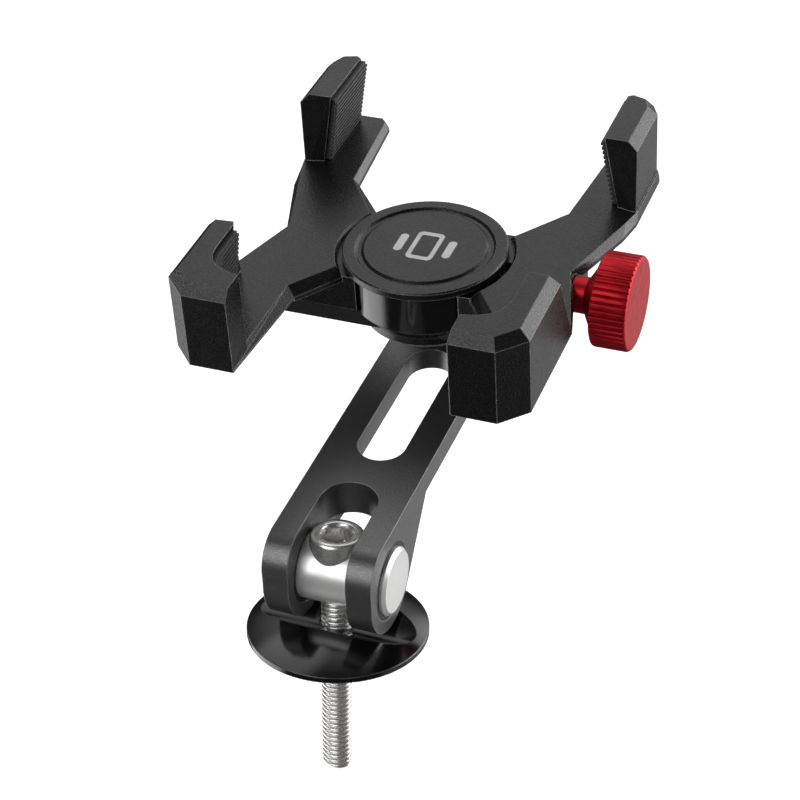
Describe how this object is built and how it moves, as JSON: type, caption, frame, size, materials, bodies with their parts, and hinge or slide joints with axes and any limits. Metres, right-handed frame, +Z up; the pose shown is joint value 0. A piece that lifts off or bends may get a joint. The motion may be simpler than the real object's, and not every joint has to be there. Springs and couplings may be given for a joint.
{
  "type": "phone handlebar mount",
  "caption": "Bicycle phone mount: stem cap with bolt, tilting slotted arm, swivelling head and two racked jaws with rubber pads, opened by a red side knob.",
  "frame": {"origin": "centre of the stem cap's flat underside, on the bolt's axis", "axes": "+Z up the bolt towards the arm, +X along the tilt pin towards the knob's side, +Y along the arm, away from the rider"},
  "size_m": [0.0726, 0.099, 0.1045],
  "materials": {
    "black_alloy": "fine satin black anodised aluminium",
    "gloss_black": "polished black anodised aluminium",
    "stainless": "polished stainless steel",
    "black_steel": "black oxide steel",
    "red_alloy": "red anodised aluminium",
    "silver_foil": "satin silver inlay",
    "pad_rubber": "ribbed black silicone rubber",
    "nylon": "black nylon",
    "white_nylon": "natural nylon",
    "brass": "machined brass"
  },
  "bodies": {
    "base": {"stem_cap": "gloss_black", "barrel_pin": "stainless"},
    "cap_bolt": {"clamp_bolt": "stainless"},
    "arm": {"arm": "black_alloy", "pin_bush_left": "nylon", "pin_bush_right": "nylon"},
    "head": {"hub_body": "gloss_black", "slide_plate": "black_alloy", "slide_plate_screws": "black_steel", "cover_disc": "black_alloy", "cover_emblem": "silver_foil", "swivel_washer": "white_nylon", "swivel_plate": "black_steel", "swivel_screw": "black_steel"},
    "right_slider": {"right_jaw": "black_alloy", "right_rack": "black_steel", "right_rack_screws": "black_steel", "pad_right_front": "pad_rubber", "pad_right_rear": "pad_rubber"},
    "left_slider": {"left_jaw": "black_alloy", "left_rack": "black_steel", "left_rack_screws": "black_steel", "pad_left_front": "pad_rubber", "pad_left_rear": "pad_rubber"},
    "centring_pinion": {"pinion": "brass"},
    "knob_set": {"knob": "red_alloy", "lead_screw": "black_steel", "knob_washer": "nylon", "knob_clip": "black_steel"}
  },
  "joints": [
    {"name": "bolt_spin", "type": "hinge", "parent": "base", "child": "cap_bolt", "pos_m": [0, 0, 0], "axis": [0, 0, 1], "continuous": true},
    {"name": "arm_tilt", "type": "hinge", "parent": "base", "child": "arm", "pos_m": [0, 0, 0.01263], "axis": [1, 0, 0], "range_deg": [-40, 75]},
    {"name": "head_swivel", "type": "hinge", "parent": "arm", "child": "head", "pos_m": [0, 0.04449, 0.04104], "axis": [0, -0.165, 0.9863], "continuous": true},
    {"name": "right_slide", "type": "slide", "parent": "head", "child": "right_slider", "axis": [1, 0, 0], "range_m": [-0.0003, 0.02]},
    {"name": "left_slide", "type": "slide", "parent": "head", "child": "left_slider", "axis": [-1, 0, 0], "range_m": [-0.0003, 0.02]},
    {"name": "pinion_spin", "type": "hinge", "parent": "head", "child": "centring_pinion", "pos_m": [0, 0.04375, 0.04548], "axis": [0, -0.165, 0.9863], "range_deg": [-212.5, 3.5]},
    {"name": "knob_spin", "type": "hinge", "parent": "right_slider", "child": "knob_set", "pos_m": [0, 0.04281, 0.0511], "axis": [1, 0, 0], "range_deg": [-60, 3600]}
  ],
  "couplings": [
    {"joint": "left_slide", "follows": "right_slide", "ratio": 1},
    {"joint": "pinion_spin", "follows": "right_slide", "rad_per_m": -185.19},
    {"joint": "knob_spin", "follows": "right_slide", "rad_per_m": 3141.6}
  ]
}
